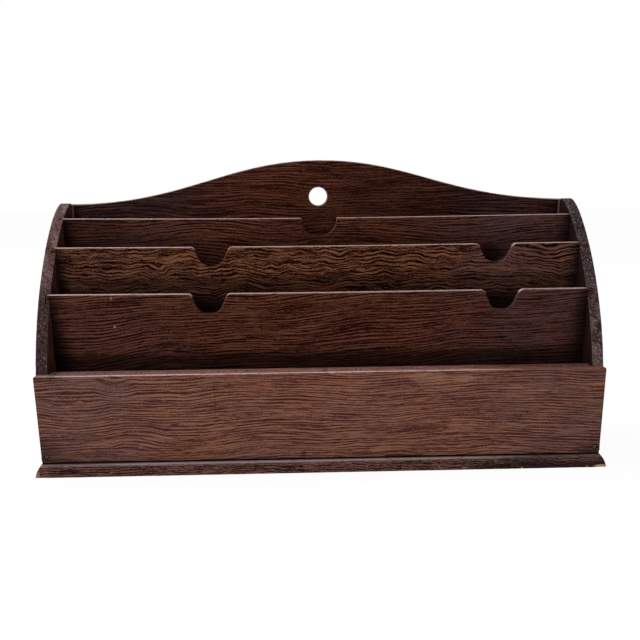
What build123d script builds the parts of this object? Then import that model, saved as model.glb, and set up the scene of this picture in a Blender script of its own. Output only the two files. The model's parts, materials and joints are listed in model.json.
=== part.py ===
from build123d import *
import os
from math import atan2, cos, radians, sin, tan

# Letter holder of dark stained oak, nailed and housed together.
# X runs along the front, Y from front to back and Z up. The origin is the middle of the base's underside.
# All sizes are in millimetres, and angles in degrees.

# Boards
rack_width = 355.6  # over the outer faces of the two sides
base_thickness = 7.8
front_thickness = 10.5
front_height = 57.5  # above the base
side_thickness = 7.2
side_height = 159.0  # at the back, above the base
back_thickness = 8.0
shoulder_height = 158.3  # back board at its two ends, above the base
crown_rise = 28.2  # middle of the crest above the shoulders
divider_thickness = 3.2
front_divider_height = 104.7  # above the base, as are the next two
middle_divider_height = 132.1
rear_divider_height = 149.3

# Pockets, as clear gaps between faces
front_pocket = 8.9
divider_pocket = 15.3  # each of the three behind the front divider

# Curves, as the reach of the control points from the ends of a cubic curve
crown_reach = 65.9  # flat run of the crest either side of its middle
shoulder_reach = 87.6  # flat run of the crest in from each end
side_lean = 11.5  # the curved edge leans back by this angle where it leaves the front board
side_lower_reach = 56.9
side_upper_reach = 16.1

# Moulded edge of the base
moulding_overhang = 4.0
moulding_radius = 13.0
moulding_foot = 0.5  # upright edge left below the round

# Front board's details
front_lip = 4.5  # front board left in front of the sides at its rebated ends
front_arris_radius = 1.5
front_corner_radius = 1.2

# Housings for the dividers
housing_depth = 3.0
housing_clearance = 0.1  # each side of the divider's thickness, and above its top
housing_slack = 1.0  # end play of a divider, all of it at its left end
joint_clearance = 0.1  # between a side's inner face and the front board's rebate

# Finger notches
round_notch_radius = 11.8
notch_mouth = 23.0
notch_floor = 12.0
notch_depth = 12.4
notch_shoulder_radius = 3.0
middle_notch_floor_radius = 8.5
front_notch_floor_radius = 6.0
left_notch_from_side = 99.9  # from the left side's inner face to the notch's middle
right_notch_from_side = 54.9  # from the right side's inner face

# Hole that the rack hangs by
hanging_hole_radius = 6.35
hanging_hole_below_crown = 24.6

# Panel pins
pin_radius = 0.65
pin_head_radius = 1.1
pin_head_thickness = 0.6
pin_length = 18.0  # over all, head and point included
pin_point = 1.8
pin_sink = 0.4  # from the wood's face down to the head
pin_clearance = 0.05  # round the pin in its hole
pin_inset = 3.2  # from a side's outer face
front_pin_height = 4.6  # above the base
back_pin_margin = 30.0  # from either end of a side's rear edge
back_pins_per_side = 3
base_pin_margin = 58.0  # from the rack's ends to the outer pins under front and back
base_pins_per_board = 3

# Places along X
half_width = rack_width / 2
inner_half_width = half_width - side_thickness
base_half_width = half_width + moulding_overhang
left_notch_x = left_notch_from_side - inner_half_width
right_notch_x = inner_half_width - right_notch_from_side
divider_length = 2 * (inner_half_width + housing_depth) - housing_slack
divider_x = housing_slack / 2

# Places along Y
divider_pitch = divider_pocket + divider_thickness
inner_depth = front_pocket + 3 * divider_pitch
base_depth = moulding_overhang + front_thickness + inner_depth + back_thickness
base_front_y = -base_depth / 2
front_y = base_front_y + moulding_overhang
front_inner_y = front_y + front_thickness
side_front_y = front_y + front_lip
back_inner_y = front_inner_y + inner_depth
back_outer_y = back_inner_y + back_thickness
front_divider_y = front_inner_y + front_pocket + divider_thickness / 2
middle_divider_y = front_divider_y + divider_pitch
rear_divider_y = middle_divider_y + divider_pitch
divider_ys = [front_divider_y, middle_divider_y, rear_divider_y]

# Heights
divider_heights = [front_divider_height, middle_divider_height, rear_divider_height]
front_top = base_thickness + front_height
side_top = base_thickness + side_height
shoulder_top = base_thickness + shoulder_height
crown_top = shoulder_top + crown_rise
hanging_hole_z = crown_top - hanging_hole_below_crown


# Where the pins go in: each plane lies on the wood's face and looks out of it
def spread(low, high, count):
    """Evenly spaced places from low to high, or their middle when there is only one."""
    if count == 1:
        return [(low + high) / 2]
    return [low + (high - low) * n / (count - 1) for n in range(count)]


pin_line_x = half_width - pin_inset
side_middle_x = half_width - side_thickness / 2
pin_line_xs = (-pin_line_x, pin_line_x)
front_pin_z = base_thickness + front_pin_height
front_pin_seats = [Plane(origin=(x, front_y, front_pin_z), z_dir=(0, -1, 0)) for x in pin_line_xs]
back_pin_zs = spread(base_thickness + back_pin_margin, side_top - back_pin_margin, back_pins_per_side)
back_pin_seats = [
    Plane(origin=(x, back_outer_y, z), z_dir=(0, 1, 0)) for x in pin_line_xs for z in back_pin_zs
]
base_pin_xs = spread(base_pin_margin - half_width, half_width - base_pin_margin, base_pins_per_board)
base_board_ys = [(front_y + front_inner_y) / 2, (back_inner_y + back_outer_y) / 2]
base_side_ys = [(front_divider_y + middle_divider_y) / 2, (rear_divider_y + back_inner_y) / 2]
base_pin_places = [(x, y) for y in base_board_ys for x in base_pin_xs]
base_pin_places += [(x, y) for y in base_side_ys for x in (-side_middle_x, side_middle_x)]
base_pin_seats = [Plane(origin=(x, y, 0), z_dir=(0, 0, -1)) for x, y in base_pin_places]


def drill(seats):
    """Cut a pin's hole at each seat out of the board that is being built."""
    with Locations(*[Location(seat) for seat in seats]):
        CounterBoreHole(
            radius=pin_radius + pin_clearance,
            counter_bore_radius=pin_head_radius + pin_clearance,
            counter_bore_depth=pin_sink + pin_head_thickness,
            depth=pin_sink + pin_length,
        )


def panel_pins(seats):
    """A group of pins, each with its head sunk below the wood's face."""
    shank_top = -pin_sink - pin_head_thickness
    shank_length = pin_length - pin_head_thickness - pin_point
    hanging = (Align.CENTER, Align.CENTER, Align.MAX)
    with BuildPart() as pins:
        with Locations(*[Location(seat) for seat in seats]):
            with Locations((0, 0, -pin_sink)):
                Cylinder(pin_head_radius, pin_head_thickness, align=hanging)
            with Locations((0, 0, shank_top)):
                Cylinder(pin_radius, shank_length, align=hanging)
            with Locations((0, 0, shank_top - shank_length)):
                Cone(0, pin_radius, pin_point, align=hanging)
    return pins


# Base: the front and both ends carry the same round, mitred where they meet, and the back is square
with BuildPart() as base_board:
    with BuildSketch(Plane.XZ):
        with BuildLine():
            Line((0, base_thickness), (half_width, base_thickness))
            RadiusArc((half_width, base_thickness), (base_half_width, moulding_foot), moulding_radius)
            Polyline((base_half_width, moulding_foot), (base_half_width, 0), (0, 0))
            mirror(about=Plane.YZ)
        make_face()
    extrude(amount=base_depth / 2, both=True)
    with BuildSketch(Plane.YZ):
        with BuildLine():
            RadiusArc((base_front_y, moulding_foot), (front_y, base_thickness), moulding_radius)
            Polyline(
                (front_y, base_thickness),
                (back_outer_y, base_thickness),
                (back_outer_y, 0),
                (base_front_y, 0),
                (base_front_y, moulding_foot),
            )
        make_face()
    extrude(amount=base_half_width, both=True, mode=Mode.INTERSECT)
    drill(base_pin_seats)

# Front board: rebated at both ends, so that a lip covers the front edges of the sides
rebate_width = side_thickness + joint_clearance
with BuildPart() as front_board:
    with BuildSketch(Plane.XY.offset(base_thickness)):
        with Locations((0, front_y)):
            Rectangle(rack_width, front_thickness, align=(Align.CENTER, Align.MIN))
        with Locations((-half_width, side_front_y)):
            Rectangle(rebate_width, front_thickness, align=(Align.MIN, Align.MIN), mode=Mode.SUBTRACT)
        with Locations((half_width, side_front_y)):
            Rectangle(rebate_width, front_thickness, align=(Align.MAX, Align.MIN), mode=Mode.SUBTRACT)
    extrude(amount=front_height)
    top_ends = front_board.edges().filter_by(Axis.Y).group_by(Axis.Z)[-1].sort_by(Axis.X)
    fillet([top_ends[0], top_ends[-1]], front_corner_radius)
    top_arris = front_board.edges().filter_by(Axis.X).group_by(Axis.Y)[0].sort_by(Axis.Z)[-1]
    fillet(top_arris, front_arris_radius)
    drill(front_pin_seats + base_pin_seats)


def side_board(hand):
    """One side: hand is -1 for the left and 1 for the right.

    Its housings start at the foot, where the dividers slide in, and stop just above their tops.
    """
    lean = radians(side_lean)
    lower_control = (side_front_y + side_lower_reach * sin(lean), front_top + side_lower_reach * cos(lean))
    upper_control = (back_inner_y - side_upper_reach, side_top)
    with BuildPart() as side:
        with BuildSketch(Plane.YZ.offset(min(hand * inner_half_width, hand * half_width))):
            with BuildLine():
                Line((side_front_y, base_thickness), (side_front_y, front_top))
                Bezier((side_front_y, front_top), lower_control, upper_control, (back_inner_y, side_top))
                Line((back_inner_y, side_top), (back_inner_y, base_thickness))
                Line((back_inner_y, base_thickness), (side_front_y, base_thickness))
            make_face()
        extrude(amount=side_thickness)
        for y, height in zip(divider_ys, divider_heights):
            with BuildSketch(Plane.XY.offset(base_thickness)):
                with Locations((hand * (inner_half_width + housing_depth / 2), y)):
                    Rectangle(housing_depth, divider_thickness + 2 * housing_clearance)
            extrude(amount=height + housing_clearance, mode=Mode.SUBTRACT)
        drill(front_pin_seats + back_pin_seats + base_pin_seats)
    return side


left_side = side_board(-1)
right_side = side_board(1)

# Back board: laps over the rear edges of the sides, and its crest is one curve each side of the crown
with BuildPart() as back_board:
    with BuildSketch(Plane.XZ.offset(-back_outer_y)):
        with BuildLine():
            Bezier(
                (0, crown_top),
                (crown_reach, crown_top),
                (half_width - shoulder_reach, shoulder_top),
                (half_width, shoulder_top),
            )
            Polyline((half_width, shoulder_top), (half_width, base_thickness), (0, base_thickness))
            mirror(about=Plane.YZ)
        make_face()
        with Locations((0, hanging_hole_z)):
            Circle(hanging_hole_radius, mode=Mode.SUBTRACT)
    extrude(amount=back_thickness)
    drill(back_pin_seats + base_pin_seats)


def round_notch():
    """Half-round finger notch, as the whole circle that cuts it."""
    with BuildSketch() as notch:
        Circle(round_notch_radius)
    return notch.sketch


def sloped_notch(floor_radius):
    """Finger notch with sloping sides and a rounded floor. The mouth's middle is its origin."""
    half_mouth = notch_mouth / 2
    half_floor = notch_floor / 2
    corner_turn = atan2(notch_depth, half_mouth - half_floor)
    widest_radius = half_floor / tan(corner_turn / 2)
    with BuildSketch() as notch:
        with BuildLine():
            Polyline(
                (-half_mouth, 0),
                (-half_floor, -notch_depth),
                (half_floor, -notch_depth),
                (half_mouth, 0),
                close=True,
            )
        make_face()
        fillet(notch.vertices().group_by(Axis.Y)[0], min(floor_radius, 0.95 * widest_radius))
    return notch.sketch


def divider(y, height, notch, notch_xs, shoulder_radius):
    """A thin board across the rack, standing on the base with its ends in the sides' housings."""
    top = base_thickness + height
    with BuildPart() as board:
        with BuildSketch(Plane.XZ.offset(-y - divider_thickness / 2)) as face:
            with Locations((divider_x, base_thickness)):
                Rectangle(divider_length, height, align=(Align.CENTER, Align.MIN))
            with Locations(*[(x, top) for x in notch_xs]):
                add(notch, mode=Mode.SUBTRACT)
            if shoulder_radius > 0:
                shoulders = face.vertices().group_by(Axis.Y)[-1].sort_by(Axis.X)[1:-1]
                fillet(shoulders, shoulder_radius)
        extrude(amount=divider_thickness)
    return board


paired_notch_xs = [left_notch_x, right_notch_x]
front_divider = divider(
    front_divider_y,
    front_divider_height,
    sloped_notch(front_notch_floor_radius),
    paired_notch_xs,
    notch_shoulder_radius,
)
middle_divider = divider(
    middle_divider_y,
    middle_divider_height,
    sloped_notch(middle_notch_floor_radius),
    paired_notch_xs,
    notch_shoulder_radius,
)
rear_divider = divider(rear_divider_y, rear_divider_height, round_notch(), [0], 0)

# Panel pins
front_board_nails = panel_pins(front_pin_seats)
back_board_nails = panel_pins(back_pin_seats)
base_nails = panel_pins(base_pin_seats)

pieces = {
    "base_board": base_board,
    "front_board": front_board,
    "left_side": left_side,
    "right_side": right_side,
    "back_board": back_board,
    "front_divider": front_divider,
    "middle_divider": middle_divider,
    "rear_divider": rear_divider,
    "front_board_nails": front_board_nails,
    "back_board_nails": back_board_nails,
    "base_nails": base_nails,
}
os.makedirs("parts", exist_ok=True)
for name, piece in pieces.items():
    piece.part.label = name
    export_step(piece.part, f"parts/{name}.step")
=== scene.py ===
"""Letter holder of dark stained oak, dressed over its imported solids.

X runs along the front, Y from the front to the back and Z up, as in the frame. Sizes are in millimetres
until a mesh is made, and each board is worked out in its own face coordinates: a along the face, b up it
and depth through the board.
"""

import json
import logging
from dataclasses import dataclass, field
from enum import Enum
from math import atan2, cos, hypot, pi, radians, sin, sqrt, tau
from typing import Any, Callable, Mapping, Optional, Sequence, Union

import bpy
import numpy as np
from mathutils import Matrix, Vector

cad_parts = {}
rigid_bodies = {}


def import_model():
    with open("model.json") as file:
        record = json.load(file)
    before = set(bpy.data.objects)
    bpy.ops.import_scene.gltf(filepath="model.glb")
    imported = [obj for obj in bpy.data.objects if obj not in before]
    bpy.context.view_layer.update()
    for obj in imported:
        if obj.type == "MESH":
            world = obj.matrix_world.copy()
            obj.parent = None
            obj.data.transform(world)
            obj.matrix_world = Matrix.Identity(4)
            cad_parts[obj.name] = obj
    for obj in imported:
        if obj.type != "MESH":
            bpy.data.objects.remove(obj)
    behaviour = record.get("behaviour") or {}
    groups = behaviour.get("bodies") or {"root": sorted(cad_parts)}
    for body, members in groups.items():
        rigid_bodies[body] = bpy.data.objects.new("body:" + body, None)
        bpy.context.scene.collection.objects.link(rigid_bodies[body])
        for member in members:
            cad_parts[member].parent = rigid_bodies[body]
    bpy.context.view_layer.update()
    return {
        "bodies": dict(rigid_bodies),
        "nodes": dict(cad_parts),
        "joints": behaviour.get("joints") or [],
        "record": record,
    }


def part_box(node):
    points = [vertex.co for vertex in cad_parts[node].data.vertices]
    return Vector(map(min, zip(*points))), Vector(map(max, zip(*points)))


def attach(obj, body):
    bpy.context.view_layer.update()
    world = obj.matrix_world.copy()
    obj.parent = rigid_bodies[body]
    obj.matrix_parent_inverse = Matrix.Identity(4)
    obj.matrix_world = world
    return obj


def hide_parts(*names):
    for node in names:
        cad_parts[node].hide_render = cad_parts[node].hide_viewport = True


MM = 0.001
# Places closer than this are the same place.
TOUCH = 1e-6
# Radius of a pin's head, and radius and depth of the seat that is sunk round it.
HEAD = 1.1
SEAT = 1.32
SEAT_DEPTH = 0.46
# Width of the flat band beside a rounded arris, and radius of an arris that isn't worn.
FLAT_BAND = 0.22
SHARP = 0.15
# Run of a housing's steep wall.
WALL = 0.06

Points = np.ndarray
Value = Union[float, np.ndarray]
Corner = tuple[float, float, float]
Colour = tuple[float, float, float]
Mark = tuple[float, float, float, float, float]

log = logging.getLogger("letter_holder")


# Outlines

def ramp(value: Points, start: Value, end: Value) -> Points:
    """Straight step that is 0 at start and 1 at end, whichever of them is larger."""
    return np.clip((value - start) / (end - start), 0.0, 1.0)


def blend(first: Value, second: Value, share: Points) -> Points:
    """Way from first to second by the given share."""
    return first + (second - first) * share


def run(a: Value, b: Value) -> Points:
    """Points of a run from their two coordinates, of which one may be the same for all."""
    return np.stack(np.broadcast_arrays(a, b), axis=1)


def travelled(path: Points) -> Points:
    """Distance along a path from its first point to each of its points."""
    return np.concatenate([[0.0], np.cumsum(np.linalg.norm(np.diff(path, axis=0), axis=1))])


def cubic(control: Sequence[tuple[float, float]], count: int) -> Points:
    """Points on a cubic Bezier curve.

    The point at t is the sum of the control points a, b, c and d, weighted (1-t)^3, 3t(1-t)^2,
    3t^2(1-t) and t^3.

    Args:
        control: The four control points.
        count: How many points, ends included.

    Returns:
        An array of count by 2.
    """
    t = np.linspace(0.0, 1.0, count)[:, None]
    a, b, c, d = np.asarray(control, float)
    return (1 - t) ** 3 * a + 3 * t * (1 - t) ** 2 * b + 3 * t**2 * (1 - t) * c + t**3 * d


def straight(start: Points, end: Points, spacing: float) -> Points:
    """Points from start up to, but without, end: start plus t times the way to end.

    Args:
        start: First point.
        end: Point after the last.
        spacing: Largest step.

    Returns:
        An array of points, at least one.
    """
    count = max(1, int(np.ceil(np.linalg.norm(end - start) / spacing)))
    t = np.linspace(0.0, 1.0, count, endpoint=False)[:, None]
    return start + t * (end - start)


def turned(corners: Sequence[Corner], spacing: float) -> Points:
    """Open path through corners, with each inner corner turned on an arc.

    The arc touches both runs at radius * tan(turn / 2) from the corner. It is the rational curve whose
    point at t is the mean of the start, the corner and the end, weighted (1-t)^2, 2t(1-t)cos(turn/2), t^2.

    Args:
        corners: Each corner's place and its radius, which is 0 for a sharp one.
        spacing: Largest step along the path.

    Returns:
        The path's points in order.
    """
    places = np.array([corner[:2] for corner in corners], float)
    runs: list[Points] = []
    last = places[0]
    for before, here, after, corner in zip(places, places[1:], places[2:], corners[1:]):
        back = (before - here) / np.linalg.norm(before - here)
        ahead = (after - here) / np.linalg.norm(after - here)
        turn = pi - np.arccos(np.clip(back @ ahead, -1.0, 1.0))
        reach = corner[2] * np.tan(turn / 2)
        start, end = here + reach * back, here + reach * ahead
        runs.append(straight(last, start, spacing))
        if reach > 0:
            t = np.linspace(0.0, 1.0, max(4, int(corner[2] * turn / spacing) + 2))[:-1, None]
            weights = np.hstack([(1 - t) ** 2, 2 * t * (1 - t) * cos(turn / 2), t**2])
            runs.append(weights @ np.stack([start, here, end]) / weights.sum(axis=1, keepdims=True))
        last = end
    runs.append(straight(last, places[-1], spacing))
    runs.append(places[-1:])
    path = np.vstack(runs)
    steps = np.linalg.norm(np.diff(path, axis=0), axis=1)
    return path[np.concatenate([[True], steps > TOUCH])]


def places_between(start: float, end: float, spacing: float, close_to: Sequence[float] = ()) -> Points:
    """Rising places from start to end, close together about the middles of small details.

    Args:
        start: First place.
        end: Last place.
        spacing: Step away from the details.
        close_to: Middles of the details, such as pins.

    Returns:
        The places, none nearer to the next than a twentieth of a millimetre.
    """
    even = np.linspace(start, end, max(2, int(round((end - start) / spacing)) + 1))
    fine = [middle + np.linspace(-1.8, 1.8, 15) for middle in close_to]
    merged = np.unique(np.concatenate([even, *fine]))
    merged = merged[(merged >= start) & (merged <= end)]
    kept = merged[np.concatenate([[True], np.diff(merged) > 0.05])]
    kept[-1] = end
    return kept


def uneven(along: Points, lengths: Sequence[float], seed: int) -> Points:
    """Smooth unevenness along an edge: the mean of sines of the given lengths, with seeded phases.

    Args:
        along: Distance along the edge.
        lengths: Wavelengths.
        seed: Seed of the phases.

    Returns:
        Values between -1 and 1.
    """
    phases = np.random.default_rng(seed).uniform(0.0, tau, len(lengths))
    return np.mean([np.sin(tau * along / length + phase) for length, phase in zip(lengths, phases)], axis=0)


@dataclass
class Outline:
    """Outline of a board's face, as four runs that share their ends.

    Attributes:
        low: Lower run, left to right.
        high: Upper run, left to right, with as many points as low.
        left: Left run, upwards.
        right: Right run, upwards, with as many points as left.
    """

    low: Points
    high: Points
    left: Points
    right: Points

    def loop(self) -> Points:
        """Once round, anticlockwise from the lower left corner."""
        return np.vstack([self.low[:-1], self.right[:-1], self.high[:0:-1], self.left[:0:-1]])

    def frame_of(self, ring: Points) -> tuple[Points, Points, Points, Points]:
        """Cut a closed ring into runs.

        Args:
            ring: An array whose first axis goes round as the loop does.

        Returns:
            The lower, upper, left and right runs of the ring.
        """
        closed = np.concatenate([ring, ring[:1]])
        along, up = len(self.low) - 1, len(self.left) - 1
        turns = np.cumsum([0, along, up, along, up])
        low, right, high, left = (closed[a : b + 1] for a, b in zip(turns, turns[1:]))
        return low, high[::-1], left[::-1], right


def mitres(loop: Points) -> Points:
    """Way outwards at each point of a closed loop, long enough at a corner to keep both edges parallel.

    With n and m the outward normals of the edges before and after a point, it is (n + m) / (1 + n.m).

    Args:
        loop: Points going round anticlockwise.

    Returns:
        One vector for each point.
    """
    edge = np.roll(loop, -1, axis=0) - loop
    normal = np.stack([edge[:, 1], -edge[:, 0]], axis=1) / np.linalg.norm(edge, axis=1, keepdims=True)
    before = np.roll(normal, 1, axis=0)
    return (normal + before) / (1 + np.sum(normal * before, axis=1, keepdims=True)).clip(0.3)


def patch(low: Points, high: Points, left: Points, right: Points) -> Points:
    """Coons patch: the surface ruled between two runs, plus that between the others, less the bilinear one.

    Args:
        low: Lower run, n by 3.
        high: Upper run, n by 3.
        left: Left run, m by 3.
        right: Right run, m by 3.

    Returns:
        An array of m by n by 3.
    """
    u = np.linspace(0.0, 1.0, len(low))[None, :, None]
    v = np.linspace(0.0, 1.0, len(left))[:, None, None]
    across = (1 - v) * low[None] + v * high[None]
    upward = (1 - u) * left[:, None] + u * right[:, None]
    corners = (1 - v) * ((1 - u) * low[0] + u * low[-1]) + v * ((1 - u) * high[0] + u * high[-1])
    return across + upward - corners


def quads(index: Points) -> Points:
    """Four-sided faces of a grid of vertex numbers, rows upwards and columns to the right."""
    return np.stack([index[:-1, :-1], index[:-1, 1:], index[1:, 1:], index[1:, :-1]], axis=-1).reshape(-1, 4)


def shell(index: Points) -> Points:
    """Four-sided faces between closed rings of vertex numbers, one ring in each row."""
    return quads(np.hstack([index, index[:, :1]]))


# Skins of boards

@dataclass
class Arris:
    """Round on the arris between a face and an edge.

    Attributes:
        radius: Radius at each point of the outline.
        steps: Rings over the round.
    """

    radius: Points
    steps: int = 5

    def rings(self) -> tuple[Points, Points, Points, Points]:
        """Rings from the face to the edge.

        At angle t, from 0 to a quarter turn, the inset is radius * (1 - sin t) and the depth is
        radius * (1 - cos t). A first ring on the flat keeps the shading of the face apart.

        Returns:
            Inset and depth of each ring at each point of the outline, and each ring's wear_and_highlight and
            edge.
        """
        t = np.linspace(0.0, pi / 2, self.steps)[:, None]
        inset = np.vstack([self.radius + FLAT_BAND, self.radius * (1 - np.sin(t))])
        depth = np.vstack([np.zeros_like(self.radius), self.radius * (1 - np.cos(t))])
        wear_and_highlight = np.concatenate([[0.0], np.sin(np.linspace(0.0, pi, self.steps)) ** 0.5])
        edge = np.concatenate([[0.0], np.linspace(0.0, 1.0, self.steps)])
        return inset, depth, wear_and_highlight, edge


@dataclass
class Skin:
    """Closed skin of a board, in face coordinates.

    Attributes:
        rings: Rings from the front face to the back face, k by n by 3.
        wear_and_highlight: How worn each vertex of the rings is, with its painted highlight, from 0 to 1, k
            by n.
        edge: 1 at vertices on the edge and 0 on the faces, k by n.
        painted_shade: How much painted shade each vertex of the rings takes, from 0 to 1, k by n.
        front: Vertex numbers of the front face's grid.
        back: Vertex numbers of the back face's grid.
        places: All vertices.
        faces: All four-sided faces.
    """

    rings: Points
    wear_and_highlight: Points
    edge: Points
    painted_shade: Points
    front: Points = field(default_factory=lambda: np.empty(0, int))
    back: Points = field(default_factory=lambda: np.empty(0, int))
    places: Points = field(default_factory=lambda: np.empty((0, 3)))
    faces: Points = field(default_factory=lambda: np.empty((0, 4), int))

    @classmethod
    def around(cls, loop: Points, thickness: float, front: Arris, back: Arris, bands: int) -> "Skin":
        """Rings round a board whose arrises are rounded.

        Args:
            loop: The board's outline.
            thickness: Depth from face to face.
            front: Round at the front face.
            back: Round at the back face.
            bands: Rings on the flat of the edge.

        Returns:
            A skin with its rings alone.
        """
        inset_front, depth_front, wear_and_highlight_front, edge_front = front.rings()
        inset_back, depth_back, wear_and_highlight_back, edge_back = back.rings()
        share = np.linspace(0.0, 1.0, bands + 2)[1:-1, None]
        flat = front.radius + share * (thickness - front.radius - back.radius)
        inset = np.vstack([inset_front, np.zeros_like(flat), inset_back[::-1]])
        depth = np.vstack([depth_front, flat, thickness - depth_back[::-1]])
        place = loop[None] - mitres(loop)[None] * inset[..., None]
        rings = np.concatenate([place, depth[..., None]], axis=2)
        wear_and_highlight = np.concatenate([wear_and_highlight_front, np.zeros(bands), wear_and_highlight_back[::-1]])
        edge = np.concatenate([edge_front, np.ones(bands), edge_back[::-1]])
        wide = np.ones((1, len(loop)))
        return cls(rings, wear_and_highlight[:, None] * wide, edge[:, None] * wide, np.zeros(depth.shape))

    @property
    def flat(self) -> Points:
        """Numbers of the rings that lie on the flat of the edge."""
        return np.flatnonzero(self.edge[:, 0] == 1.0)[1:-1]

    def close(self, outline: Outline) -> None:
        """Join the rings and lay a patch over each face.

        Args:
            outline: The outline that the rings go round.
        """
        count, around = self.rings.shape[:2]
        index = np.arange(count * around).reshape(count, around)
        self.places = self.rings.reshape(-1, 3)
        self.front = self.lay(*outline.frame_of(index[0]))
        self.back = self.lay(*outline.frame_of(index[-1]))
        self.faces = np.vstack([shell(index), quads(self.front)[:, ::-1], quads(self.back)])

    def lay(self, low: Points, high: Points, left: Points, right: Points) -> Points:
        """Lay a patch between four runs of vertex numbers.

        Args:
            low: Lower run.
            high: Upper run.
            left: Left run.
            right: Right run.

        Returns:
            The patch's grid of vertex numbers.
        """
        surface = patch(*(self.places[number] for number in (low, high, left, right)))
        grid = np.empty(surface.shape[:2], int)
        grid[0], grid[-1], grid[:, 0], grid[:, -1] = low, high, left, right
        inner = surface[1:-1, 1:-1].reshape(-1, 3)
        grid[1:-1, 1:-1] = len(self.places) + np.arange(len(inner)).reshape(len(left) - 2, len(low) - 2)
        self.places = np.vstack([self.places, inner])
        return grid

    def sink(self, grid: Points, into: float, pins: Sequence[tuple[float, float]]) -> None:
        """Sink a small round seat into a face for the head of each pin.

        The seat's depth falls smoothly from its full value to nothing over its rim.

        Args:
            grid: Vertex numbers of the face.
            into: Way into the wood along depth, 1 or -1.
            pins: The pins' places on the face.
        """
        number = grid[1:-1, 1:-1].ravel()
        for a, b in pins:
            away = np.hypot(self.places[number, 0] - a, self.places[number, 1] - b)
            t = ramp(away, SEAT, HEAD)
            self.places[number, 2] += into * SEAT_DEPTH * t * t * (3 - 2 * t)

    def masks(self) -> dict[str, Points]:
        """Values of wear_and_highlight, edge and painted_shade at all vertices, with 0 inside the faces."""
        spread = {"wear_and_highlight": self.wear_and_highlight, "edge": self.edge, "painted_shade": self.painted_shade}
        rest = np.zeros(len(self.places) - self.wear_and_highlight.size)
        return {title: np.concatenate([value.ravel(), rest]) for title, value in spread.items()}


class Facing(Enum):
    """Which way a board's a, b and depth run in the frame."""

    FRONT = "a to the right, b up, depth to the back"
    SIDE = "a to the back, b up, depth along X"
    FLAT = "a to the right, b to the back, depth down"


def make_piece(name: str, skin: Skin, facing: Facing, start: float, inward: float = 1.0) -> bpy.types.Object:
    """Make a mesh object in metres from a skin, with its place in its vertices.

    Args:
        name: Name of the piece.
        skin: A closed skin.
        facing: How the board stands.
        start: Where depth 0 lies, in millimetres.
        inward: Way of depth along X for a side board, 1 or -1.

    Returns:
        The new object, with smooth shading and the attributes wear_and_highlight, edge and painted_shade.
    """
    a, b, depth = skin.places.T
    if facing is Facing.FRONT:
        place = np.stack([a, start + depth, b], axis=1)
    elif facing is Facing.SIDE:
        place = np.stack([start + inward * depth, a, b], axis=1)
    else:
        place = np.stack([a, b, start - depth], axis=1)
    corner = place[skin.faces]
    volume = np.einsum("ij,ij->i", corner[:, 0], np.cross(corner[:, 1], corner[:, 2])).sum()
    volume += np.einsum("ij,ij->i", corner[:, 0], np.cross(corner[:, 2], corner[:, 3])).sum()
    faces = skin.faces if volume > 0 else skin.faces[:, ::-1]
    mesh = bpy.data.meshes.new(name)
    mesh.vertices.add(len(place))
    mesh.vertices.foreach_set("co", (place * MM).ravel())
    mesh.loops.add(faces.size)
    mesh.loops.foreach_set("vertex_index", faces.ravel())
    mesh.polygons.add(len(faces))
    mesh.polygons.foreach_set("loop_start", np.arange(0, faces.size, 4))
    mesh.polygons.foreach_set("use_smooth", np.ones(len(faces), bool))
    mesh.update(calc_edges=True)
    for title, value in skin.masks().items():
        mesh.attributes.new(title, "FLOAT", "POINT").data.foreach_set("value", value)
    mesh.validate()
    piece = bpy.data.objects.new(name, mesh)
    bpy.context.scene.collection.objects.link(piece)
    return piece


# Shader maths

Input = Union["Number", float, Colour]


def math_method(operation: str, reflected: bool = False) -> Callable[["Number", Input], "Number"]:
    """Make the method behind one of Python's operators.

    Args:
        operation: The Math node's operation.
        reflected: Whether the other operand comes first.

    Returns:
        A method that adds one Math node.
    """

    def method(self: "Number", other: Input) -> "Number":
        """Add the node and return its output."""
        first, second = (other, self) if reflected else (self, other)
        return self.math(operation, first, second)

    return method


class Number:
    """A number in a shader, on which Python's operators add Math nodes."""

    __add__, __radd__ = math_method("ADD"), math_method("ADD", True)
    __sub__, __rsub__ = math_method("SUBTRACT"), math_method("SUBTRACT", True)
    __mul__, __rmul__ = math_method("MULTIPLY"), math_method("MULTIPLY", True)
    __truediv__ = math_method("DIVIDE")

    def __init__(self, graph: "Graph", socket: bpy.types.NodeSocket) -> None:
        """Wrap a socket.

        Args:
            graph: The graph that the socket belongs to.
            socket: An output socket.
        """
        self.graph = graph
        self.socket = socket

    def math(self, operation: str, *values: Input) -> "Number":
        """Add a Math node and return its output."""
        return self.graph.add("ShaderNodeMath", {"operation": operation}, dict(enumerate(values)))

    def sine(self) -> "Number":
        """Sine."""
        return self.math("SINE", self)

    def size(self) -> "Number":
        """Value without its sign."""
        return self.math("ABSOLUTE", self)

    def between(self, low: float, high: float) -> "Number":
        """Smooth step that is 0 at low and 1 at high, whichever of them is larger."""
        settings = {"interpolation_type": "SMOOTHSTEP"}
        return self.graph.add("ShaderNodeMapRange", settings, {0: self, 1: low, 2: high})


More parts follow.
